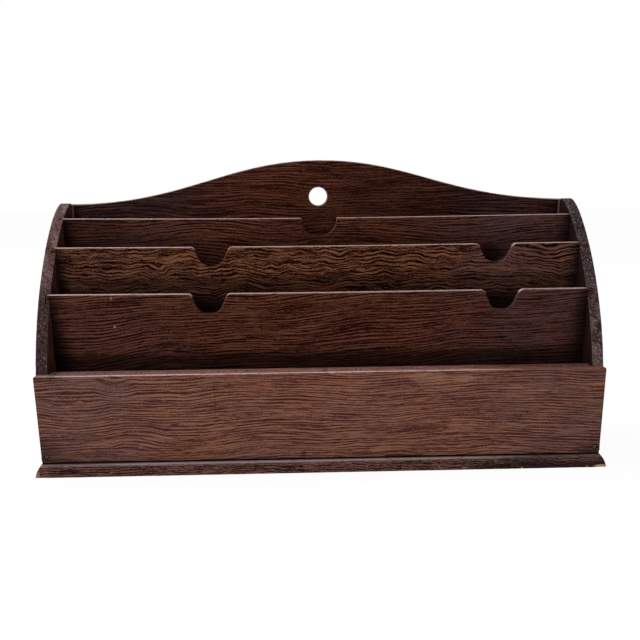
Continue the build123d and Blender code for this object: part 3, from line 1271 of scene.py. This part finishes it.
@dataclass
class BackBoard(Board):
    """Tall back whose crest rises in one curve each side, with a round hole to hang it by.

    Attributes:
        shoulder: Height of the crest at its ends above the board's foot.
        crown_reach: Flat run of the crest each side of its middle.
        shoulder_reach: Flat run of the crest in from each end.
        hole_radius: Radius of the hole.
        hole_drop: From the crown down to the hole's middle.
        hole_round: Radius of the hole's arrises.
        hole_steps: Points round the hole.
        tilt: How much the crest is raised to the right of its middle and lowered to the left.
        seed: Seed of its unevenness.
    """

    shoulder: float = 158.3
    crown_reach: float = 65.9
    shoulder_reach: float = 87.6
    hole_radius: float = 6.35
    hole_drop: float = 24.6
    hole_round: float = 0.55
    hole_steps: int = 48
    tilt: float = 0.65
    seed: int = 31

    def shape(self, solid: Solid) -> bpy.types.Object:
        """Make the back from two patches, which meet at a middle run that splits round the hole."""
        top = solid.z0 + self.shoulder
        crest = cubic([
            (0.0, solid.z1),
            (self.crown_reach, solid.z1),
            (solid.x1 - self.shoulder_reach, top),
            (solid.x1, top),
        ], 400)
        start = self.hole_radius + self.hole_round + FLAT_BAND
        half_round = -start * np.cos(np.linspace(0.0, pi, self.hole_steps // 2 + 1))
        pins = Solid("back_board_nails")
        pin_a = (pins.x0 + HEAD, pins.x1 - HEAD)
        pin_b = tuple(np.linspace(pins.z0 + HEAD, pins.z1 - HEAD, 3))
        left_a = places_between(solid.x0, -start, 1.4, pin_a[:1])
        right_a = places_between(start, solid.x1, 1.4, pin_a[1:])
        columns = np.concatenate([left_a, half_round[1:-1], right_a])
        share = columns / solid.x1
        rise = np.interp(np.abs(columns), crest[:, 0], crest[:, 1]) + self.tilt * share * (1 - share**10)
        high = run(columns, np.minimum(rise, solid.z1))
        hole_b = solid.z1 - self.hole_drop
        split = (hole_b - solid.z0) / (solid.z1 - solid.z0)
        rows = places_between(solid.z0, top, 4.0, pin_b)
        rows = rows[rows < solid.z0 + split * self.shoulder - 1.0]
        share = np.concatenate([(rows - solid.z0) / self.shoulder, [split], np.linspace(split, 1.0, 8)[1:]])
        left, right = (run(a, blend(solid.z0, b, share)) for a, b in (high[0], high[-1]))
        outline = Outline(run(columns, solid.z0), high, left, right)
        loop = outline.loop()
        near_top = ramp(loop[:, 1], top - 6.0, top - 2.0)
        worn = 0.6 * (1.0 + 0.35 * uneven(loop[:, 0], (71.0, 26.0, 9.0, 4.3), self.seed))
        arris = Arris(blend(0.2, worn, near_top))
        thickness = solid.y1 - solid.y0
        skin = Skin.around(loop, thickness, arris, arris, 3)
        bore = self._bore(thickness, hole_b)
        skin.wear_and_highlight *= near_top * 0.7
        bore.wear_and_highlight *= 0.5
        self._close(skin, bore, outline, len(rows), len(left_a))
        skin.sink(skin.back, -1.0, [(a, b) for a in pin_a for b in pin_b])
        return make_piece(self.node + "_oak", skin, Facing.FRONT, solid.y0)

    def _bore(self, thickness: float, height: float) -> Skin:
        """Rings of the hole, which flare out at both faces: those of a disc, mirrored in its rim.

        Args:
            thickness: The board's thickness.
            height: Place of the hole's middle along b.

        Returns:
            A skin with its rings alone, anticlockwise from the hole's left.
        """
        angle = np.linspace(0.0, tau, self.hole_steps, endpoint=False)
        centre = np.array([0.0, height])
        ring = centre - self.hole_radius * np.stack([np.cos(angle), np.sin(angle)], axis=1)
        arris = Arris(np.full(self.hole_steps, self.hole_round))
        bore = Skin.around(ring, thickness, arris, arris, 3)
        out = bore.rings[:, :, :2] - centre
        away = np.linalg.norm(out, axis=2, keepdims=True)
        bore.rings[:, :, :2] = centre + out * (2 * self.hole_radius / away - 1)
        return bore

    @staticmethod
    def _close(skin: Skin, bore: Skin, outline: Outline, row: int, column: int) -> None:
        """Join both sets of rings and lay two patches over each face.

        Args:
            skin: The board's rings, which take in everything.
            bore: The hole's rings, anticlockwise from the hole's left.
            outline: The board's outline.
            row: The row at which the face is split.
            column: How many columns lie left of the hole, its first one included.
        """
        count, around = skin.rings.shape[:2]
        half = bore.rings.shape[1] // 2
        index = np.arange(count * around).reshape(count, around)
        inner = index.size + np.arange(count * 2 * half).reshape(count, 2 * half)
        skin.places = np.vstack([skin.rings.reshape(-1, 3), bore.rings.reshape(-1, 3)])
        grids = []
        for ring, hole in ((index[0], inner[0]), (index[-1], inner[-1])):
            low, high, left, right = outline.frame_of(ring)
            middle = np.empty(len(low), int)
            middle[0], middle[-1] = left[row], right[row]
            outer = np.concatenate([np.arange(1, column - 1), np.arange(column + half, len(low) - 1)])
            rise = skin.places[left, 1] - skin.places[left[0], 1]
            line = blend(skin.places[low[outer]], skin.places[high[outer]], rise[row] / rise[-1])
            middle[outer] = len(skin.places) + np.arange(len(outer))
            skin.places = np.vstack([skin.places, line])
            under, over = middle.copy(), middle.copy()
            under[column - 1 : column + half] = hole[: half + 1]
            over[column - 1 : column + half] = np.concatenate([hole[:1], hole[: half - 1 : -1]])
            lower = skin.lay(low, under, left[: row + 1], right[: row + 1])
            upper = skin.lay(over, high, left[row:], right[row:])
            grids.append((lower, upper))
        front, back = grids
        skin.front, skin.back = front[0], back[0]
        shells = [shell(index), shell(inner)[:, ::-1]]
        shells += [quads(grid)[:, ::-1] for grid in front] + [quads(grid) for grid in back]
        skin.faces = np.vstack(shells)
        for title in ("wear_and_highlight", "edge", "painted_shade"):
            both = [getattr(part, title).ravel() for part in (skin, bore)]
            setattr(skin, title, np.concatenate(both))


@dataclass
class BaseBoard(Board):
    """Thin base whose front and ends are moulded to a round and whose back is square.

    Attributes:
        overhang: How far the moulding stands out from the boards above.
        radius: Radius of the round.
        foot: Height of the upright edge below it.
        front_pins: Places along X of the pins under the front and the back.
        side_pins: Places along Y of the pins under the sides.
        side_line: Place along X of those pins.
        seed: Seed of its unevenness.
    """

    overhang: float = 4.0
    radius: float = 13.0
    foot: float = 0.5
    front_pins: tuple[float, ...] = (-119.8, 0.0, 119.8)
    side_pins: tuple[float, ...] = (-9.2, 27.0)
    side_line: float = 174.2
    seed: int = 41

    def shape(self, solid: Solid) -> bpy.types.Object:
        """Make the base: rings in plan that grow outwards by the moulding's profile as they go down."""
        front, back = Solid("front_board"), Solid("back_board")
        rows = ((front.y0 + front.y1) / 2, (back.y0 + back.y1) / 2)
        sides = (-self.side_line, self.side_line)
        across = places_between(front.x0, front.x1, 1.2, (*self.front_pins, *sides))
        deep = places_between(front.y0, solid.y1, 3.0, (*rows, *self.side_pins))
        low, high = (run(across, end) for end in (deep[0], deep[-1]))
        left, right = (run(end, deep) for end in (across[0], across[-1]))
        outline = Outline(low, high, left, right)
        loop = outline.loop()
        a, b = loop.T
        at_end = np.abs(a) > front.x1 - TOUCH
        at_front = b < front.y0 + TOUCH
        moulded = at_end | at_front
        way = np.stack([np.sign(a) * at_end, -1.0 * at_front], axis=1)
        out, depth, wear_and_highlight = self._profile(solid.z1 - solid.z0)
        growth = 1.0 - 0.02 * (1 + uneven(a, (47.0, 17.0, 6.0), self.seed))
        growth -= 0.10 * np.exp(-(((np.abs(a) - front.x1) / 2.5) ** 2)) * at_front
        place = loop[None] + way[None] * (out[:, None] * growth[None])[..., None]
        full = np.concatenate([place, np.broadcast_to(depth[:, None, None], (*place.shape[:2], 1))], axis=2)
        # Rubbing and painted highlight on the moulding, fading towards both ends, most to the right.
        rubbed_and_lit = 1.0 - 0.75 * ramp(a, 95.0, 135.0) - 0.4 * ramp(a, -120.0, -150.0)
        wear_and_highlight = wear_and_highlight[:, None] * (rubbed_and_lit * moulded)[None]
        # Painted shade in the gap at the foot of the boards above the moulding.
        painted_shade = ramp(out, 0.72, 0.27)[:, None] * moulded[None]
        skin = Skin(full, wear_and_highlight, np.zeros(wear_and_highlight.shape), painted_shade)
        skin.close(outline)
        pins = [(x, y) for x in self.front_pins for y in rows]
        pins += [(x, y) for x in sides for y in self.side_pins]
        skin.sink(skin.back, -1.0, pins)
        return make_piece(self.node + "_oak", skin, Facing.FLAT, solid.z1)

    def _profile(self, thickness: float) -> tuple[Points, Points, Points]:
        """Moulding's profile, from the top face round to the underside.

        The round is a circle through the top's edge and the foot: its centre lies on the chord's
        perpendicular, sqrt(radius^2 - (chord / 2)^2) inwards.

        Args:
            thickness: The base's thickness.

        Returns:
            How far out and how far down each ring is, and how worn and lit by painted highlight.
        """
        drop = thickness - self.foot
        chord = hypot(self.overhang, drop)
        inwards = sqrt(self.radius**2 - (chord / 2) ** 2)
        centre_out = self.overhang / 2 - inwards * drop / chord
        centre_down = drop / 2 + inwards * self.overhang / chord
        start = atan2(centre_down, -centre_out)
        end = atan2(centre_down - drop, self.overhang - centre_out)
        t = np.linspace(start, end, 14)
        out = centre_out + self.radius * np.cos(t)
        down = centre_down - self.radius * np.sin(t)
        out = np.concatenate([[-0.6, -0.15], out, [self.overhang, self.overhang - 0.2, self.overhang - 0.5]])
        down = np.concatenate([[0.0, 0.0], down, [thickness - 0.2, thickness, thickness]])
        wear_and_highlight = np.zeros(len(out))
        # The upper round takes a soft painted highlight with its rubbing.
        wear_and_highlight[2:7] = (0.55, 0.88, 0.72, 0.24, 0.04)
        wear_and_highlight[-4:-1] = (0.05, 0.1, 0.05)
        return out, down, wear_and_highlight


# Stage

@dataclass(frozen=True)
class Studio:
    """Camera, lamps, floor and background.

    Attributes:
        eye: The camera's place, in millimetres.
        yaw: Turn towards the right, in degrees.
        pitch: Tilt down, in degrees.
        roll: Turn about the line of sight, in degrees.
        focal: Focal length in widths of the film.
        film: Width of the film, in millimetres.
        aim: What the lamps look at, in metres.
        floor_reach: From the middle of the floor to its edges, in metres.
        floor_drop: How far the floor lies below the rack, in metres.
    """

    eye: tuple[float, float, float] = (-10.3, -425.9, 185.4)
    yaw: float = 1.339
    pitch: float = 12.668
    roll: float = -0.549
    focal: float = 652 / 640
    film: float = 36.0
    aim: tuple[float, float, float] = (0.0, 0.0, 0.08)
    floor_reach: float = 3.0
    floor_drop: float = 0.0003

    def build(self) -> None:
        """Set up everything round the object, with a main lamp overhead and a weak one in front."""
        self._camera()
        self._lamp("main_lamp", (-0.55, 0.30, 1.30), 0.6, 13.0)
        self._lamp("front_lamp", (-0.8, -1.5, 0.7), 1.2, 10.0)
        self._background()
        self._floor()

    def _camera(self) -> None:
        """Place the camera where the photograph was taken from."""
        yaw, pitch, roll = radians(self.yaw), radians(self.pitch), radians(self.roll)
        ahead = Vector((sin(yaw) * cos(pitch), cos(yaw) * cos(pitch), -sin(pitch)))
        level = Vector((cos(yaw), -sin(yaw), 0.0))
        upright = level.cross(ahead)
        right = level * cos(roll) + upright * sin(roll)
        up = upright * cos(roll) - level * sin(roll)
        data = bpy.data.cameras.new("camera")
        data.sensor_width = self.film
        data.lens = self.film * self.focal
        data.clip_start = 0.01
        camera = bpy.data.objects.new("camera", data)
        turn = Matrix((right, up, -ahead)).transposed().to_4x4()
        camera.matrix_world = Matrix.Translation(Vector(self.eye) * MM) @ turn
        bpy.context.scene.collection.objects.link(camera)
        bpy.context.scene.camera = camera

    def _lamp(self, name: str, place: tuple[float, float, float], width: float, power: float) -> None:
        """Hang one soft square lamp that looks at the object.

        Args:
            name: Its name.
            place: Its place, in metres.
            width: Its width, in metres.
            power: Its power, in watts.
        """
        data = bpy.data.lights.new(name, "AREA")
        data.size = width
        data.energy = power
        lamp = bpy.data.objects.new(name, data)
        lamp.location = place
        way = Vector(self.aim) - lamp.location
        lamp.rotation_euler = way.to_track_quat("-Z", "Y").to_euler()
        bpy.context.scene.collection.objects.link(lamp)

    @staticmethod
    def _seen(graph: Graph) -> Number:
        """1 for rays from the camera, mirrors and glass, and 0 for light on surfaces."""
        names = ("Is Camera Ray", "Is Glossy Ray", "Is Transmission Ray")
        first, second, third = (graph.add("ShaderNodeLightPath", output=name) for name in names)
        return (first + second + third).between(0.0, 1.0)

    def _background(self) -> None:
        """White background, with softer light from it on the object."""
        world = bpy.data.worlds.new("background")
        bpy.context.scene.world = world
        graph = Graph(world)
        values = {"Color": (1.0, 1.0, 1.0), "Strength": 0.5 + 0.5 * self._seen(graph)}
        graph.add("ShaderNodeOutputWorld", None, {"Surface": graph.add("ShaderNodeBackground", None, values)})

    def _floor(self) -> None:
        """Plain pale floor that the camera sees as white and that still takes a faint shadow."""
        reach = self.floor_reach
        corners = [(x, y, -self.floor_drop) for x, y in
                   ((-reach, -reach), (reach, -reach), (reach, reach), (-reach, reach))]
        mesh = bpy.data.meshes.new("floor")
        mesh.from_pydata(corners, [], [(0, 1, 2, 3)])
        floor = bpy.data.objects.new("floor", mesh)
        bpy.context.scene.collection.objects.link(floor)
        material = bpy.data.materials.new("pale_floor")
        graph = Graph(material)
        matt = graph.add("ShaderNodeBsdfDiffuse", None, {"Color": (0.8, 0.8, 0.8)})
        white = graph.add("ShaderNodeEmission", None, {"Color": (1.0, 1.0, 1.0), "Strength": 1.02})
        surface = graph.add("ShaderNodeMixShader", None, {0: self._seen(graph) * 0.93, 1: matt, 2: white})
        graph.add("ShaderNodeOutputMaterial", None, {"Surface": surface})
        mesh.materials.append(material)


# The rack

# Colours that the boards' finishes start from, and the greyed areas of the dividers.
# The dark oak takes painted shade at its ends, in the corners by the sides.
DARK = dict(
    pore=(0.006, 0.0006, 0.0003), body=(0.045, 0.0103, 0.0055), warm=(0.064, 0.0160, 0.0056),
    light=(0.142, 0.052, 0.030), gloss=0.015, shade_ends=(160.5, 171.0))
GOLDEN = dict(DARK, warm=(0.068, 0.0175, 0.0058), light=(0.190, 0.076, 0.038))
# The front's worn colour is pale enough to paint the highlight along its top arris.
BROWN = dict(
    pore=(0.040, 0.0080, 0.0040), body=(0.148, 0.052, 0.038), warm=(0.203, 0.071, 0.026),
    light=(0.322, 0.148, 0.100), haze=(0.118, 0.058, 0.053), worn=(0.55, 0.355, 0.325), gloss=0.04)
# The base's worn colour also paints the sheen on its moulding.
BLACK = dict(
    pore=(0.012, 0.003, 0.002), body=(0.074, 0.0275, 0.0225), warm=(0.136, 0.044, 0.029),
    light=(0.190, 0.092, 0.076), haze=(0.028, 0.016, 0.018), worn=(0.47, 0.340, 0.335), gloss=0.04)
# The right side's colours, darkened as painted shade on its inner face.
SHADED_GREY = dict(
    pore=(0.006, 0.002, 0.003), body=(0.020, 0.0055, 0.0060), warm=(0.027, 0.0070, 0.0060),
    light=(0.048, 0.019, 0.017), haze=(0.015, 0.0075, 0.0080), gloss=0.06)
RUDDY = dict(
    SHADED_GREY, body=(0.070, 0.0215, 0.0180), warm=(0.090, 0.0270, 0.0190), light=(0.120, 0.044, 0.032),
    haze=(0.040, 0.0190, 0.0190))
HAZY = dict(haze_high=1.15, haze_all=0.12, ends=(55.0, 125.0))


@dataclass
class LetterHolder:
    """The whole rack: its boards and its pins.

    Attributes:
        left_notch: Place along the rack of the left finger notches.
        right_notch: Place of the right ones.
    """

    left_notch: float = -70.7
    right_notch: float = 115.7

    def boards(self) -> list[Board]:
        """The boards, each with its own oak.

        Returns:
            The boards from the base up.
        """
        return [self._base(), self._front(), *self._sides(), self._back(), *self._dividers()]

    @staticmethod
    def _base() -> Board:
        """The base, with two dark stains and with pale chips along its foot."""
        stains_and_shades = ((-160.0, 3.6, 9.0, 1.8, 0.7), (150.0, 0.6, 70.0, 4.6, 0.65))
        chips = (
            (179.0, 0.8, 7.0, 1.2, 0.8), (168.9, 0.6, 0.8, 0.6, 0.6), (126.8, 0.6, 0.8, 0.8, 0.7),
            (90.0, 1.4, 2.2, 0.6, 0.3), (73.9, 2.3, 0.8, 0.6, 0.3), (-181.0, 2.0, 3.0, 2.5, 0.25))
        return BaseBoard("base_board", "base_oak", StainedOak(
            "base_oak", Grain.ALONG_X, 2.3, length=11.0, dash=4.0, ripple=1.0, ripple_length=8.0,
            haze_low=0.0, haze_high=1.0, haze_all=0.2, ends=(30.0, 120.0), marks=stains_and_shades,
            raw=(0.62, 0.36, 0.21), bare=chips, bare_depth=-38.0, **BLACK))

    @staticmethod
    def _front() -> Board:
        """The front, with a knot near its left end, dark spots, also at its pins, and golden patches."""
        knots = (
            (-153.0, 41.0, 24.0, 17.0, 2.4), (-118.0, 27.0, 20.0, 13.0, -2.2),
            (-128.0, 56.0, 14.0, 10.0, 2.0))
        spots = (
            (-67.2, 46.0, 0.7, 19.0, 0.25), (-58.7, 57.5, 3.6, 2.0, 0.5), (-12.3, 11.9, 2.6, 2.0, 0.5),
            (129.3, 36.9, 1.0, 0.9, 0.8), (2.1, 65.2, 2.0, 1.2, 0.8), (-167.0, 65.3, 3.0, 1.2, 0.7),
            (-178.0, 6.0, 26.0, 20.0, 0.5), (178.0, 6.0, 20.0, 18.0, 0.4))
        golden = ((66.0, 60.5, 15.0, 4.5, 0.22), (88.0, 60.0, 9.0, 3.0, 0.2), (104.0, 58.0, 6.0, 2.5, 0.12))
        pins = Solid("front_board_nails")
        seats = tuple((x, (pins.z0 + pins.z1) / 2, 2.6, 2.4, 0.8) for x in (pins.x0 + HEAD, pins.x1 - HEAD))
        return FrontBoard("front_board", "front_oak", StainedOak(
            "front_oak", Grain.ALONG_X, 7.1, flecks=0.38, swing=8.0, ripple=0.25, dips=knots, dark=0.88,
            bright=0.60, haze_low=1.0, haze_all=0.45, ends=(80.0, 160.0), foot_darkening=((12.5, 8.2, 0.30),),
            marks=spots + seats, bare=golden, **BROWN))

    @staticmethod
    def _sides() -> list[Board]:
        """The sides: the left one is dusty towards its top and the right one towards its foot, with darker
        colours as painted shade.
        """
        left = StainedOak(
            "left_oak", Grain.ALONG_Z, 4.7, cut=(0.032, 0.020, 0.022), speck=(0.30, 0.22, 0.21),
            specks=(0.54, 0.72), raw=(0.33, 0.24, 0.23), bare=((147.0, 52.0, 4.5, 5.0, 0.3),), **RUDDY)
        right = StainedOak(
            "right_oak", Grain.ALONG_Z, 9.2, cut=(0.037, 0.024, 0.025), speck=(0.38, 0.29, 0.29),
            specks=(0.535, 0.70), dust=(0.135, 0.088, 0.083), dusty=(134.0, 72.0), **SHADED_GREY)
        return [
            SideBoard("left_side", "side_oak", left),
            SideBoard("right_side", "side_oak", right, Hand.RIGHT, seed=22),
        ]

    @staticmethod
    def _back() -> Board:
        """The back, with a pale line in its corners with the sides, and painted shade at its ends."""
        pale_corner_lines = ((-170.1, 160.0, 1.1, 40.0, 0.85), (169.5, 160.0, 1.0, 40.0, 0.6))
        return BackBoard("back_board", "back_oak", StainedOak(
            "back_oak", Grain.ALONG_X, 11.4, ripple=0.3, ring=2.1, dark=0.78, bright=0.7,
            haze=(0.0205, 0.0122, 0.0165), haze_low=1.4, haze_high=1.4, haze_all=0.1, ends=(45.0, 125.0),
            marks=((66.0, 166.0, 62.0, 40.0, 0.36),), raw=(0.20, 0.125, 0.13), bare=pale_corner_lines,
            bare_depth=Solid("back_board").y0 + 0.5, **DARK))

    def _dividers(self) -> list[Board]:
        """The dividers from the rear one to the front one."""
        # Painted shade on the rear divider: behind the middle one's right notch, and at its left end by the
        # side.
        stains_and_shades = ((116.0, 131.0, 12.0, 9.0, 0.75), (-172.0, 130.0, 52.0, 80.0, 0.4))
        # Each divider's foot is darkened as painted shade deep in its pocket.
        rear = StainedOak(
            "rear_divider_oak", Grain.ALONG_X, 13.8, ripple=0.3, ring=2.1, haze=(0.064, 0.034, 0.040),
            foot_darkening=((146.0, 141.0, 0.25),), marks=stains_and_shades, **HAZY, **DARK)
        curls = (
            (-106.7, 121.0, 9.0, 10.0, 4.4), (-58.0, 107.0, 13.0, 8.0, -2.4), (30.0, 118.0, 15.0, 8.0, 2.2))
        middle = StainedOak(
            "middle_divider_oak", Grain.ALONG_X, 17.5, fine=0.55, length=20.0, ring=2.4, swing=10.0,
            ripple=2.0, ripple_length=15.0, dips=curls, warmth=0.9, dark=1.0, bright=1.0,
            haze=(0.078, 0.037, 0.038), foot_darkening=((123.0, 117.0, 0.45), (114.0, 101.0, 0.85)),
            **HAZY, **GOLDEN)
        # Painted shadows that the sides cast on the front divider's ends.
        shades = ((-174.0, 62.0, 20.0, 48.0, 0.75), (174.0, 74.0, 18.0, 44.0, 0.5))
        nicks = ((-132.1, 110.0, 0.7, 1.9, 0.4), (-131.1, 91.6, 1.0, 0.7, 0.8))
        front = StainedOak(
            "front_divider_oak", Grain.ALONG_X, 19.9, slope=-0.06, ripple=0.3, haze=(0.053, 0.0255, 0.0275),
            foot_darkening=((76.5, 70.5, 0.70),), marks=shades, bare=nicks, **HAZY, **DARK)
        half_round = (Notch(0.0, 23.6, 23.6, 11.8, 1.0, 0.9, 10.7),)
        return [
            Divider("rear_divider", "divider_oak", rear, half_round, sag=0.9, lift=0.4, seed=3),
            Divider("middle_divider", "divider_oak", middle, self._pair(8.5, 12.0), lift=0.2, seed=2),
            Divider("front_divider", "divider_oak", front, self._pair(6.0, 12.4), sag=0.65, seed=1),
        ]

    def _pair(self, turn: float, right_depth: float) -> tuple[Notch, ...]:
        """The two finger notches of a divider.

        Args:
            turn: Radius of the turns at their bottoms.
            right_depth: Depth of the right one.

        Returns:
            The left notch and the right one.
        """
        mouth, floor, left_depth = 23.0, 12.0, 12.4
        return (
            Notch(self.left_notch, mouth, floor, left_depth, 3.0, 3.0, turn),
            Notch(self.right_notch, mouth, floor, right_depth, 3.5, 3.5, turn),
        )

    def build(self, frame: Mapping[str, Any]) -> None:
        """Build every board and dress the pins.
        """
        for board in self.boards():
            piece = board.build()
            log.info("%s: %d faces", piece.name, len(piece.data.polygons))
        iron = DarkIron().material()
        for name in ("front_board_nails", "back_board_nails", "base_nails"):
            pins = frame["nodes"][name]
            pins.data.materials.clear()
            pins.data.materials.append(iron)
            log.info("%s: dressed", name)


def main() -> None:
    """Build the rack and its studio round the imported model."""
    logging.basicConfig(level=logging.INFO, format="%(name)s %(message)s")
    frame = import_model()
    bpy.context.scene.view_settings.view_transform = "Standard"
    Studio().build()
    LetterHolder().build(frame)


if __name__ == "__main__":
    main()
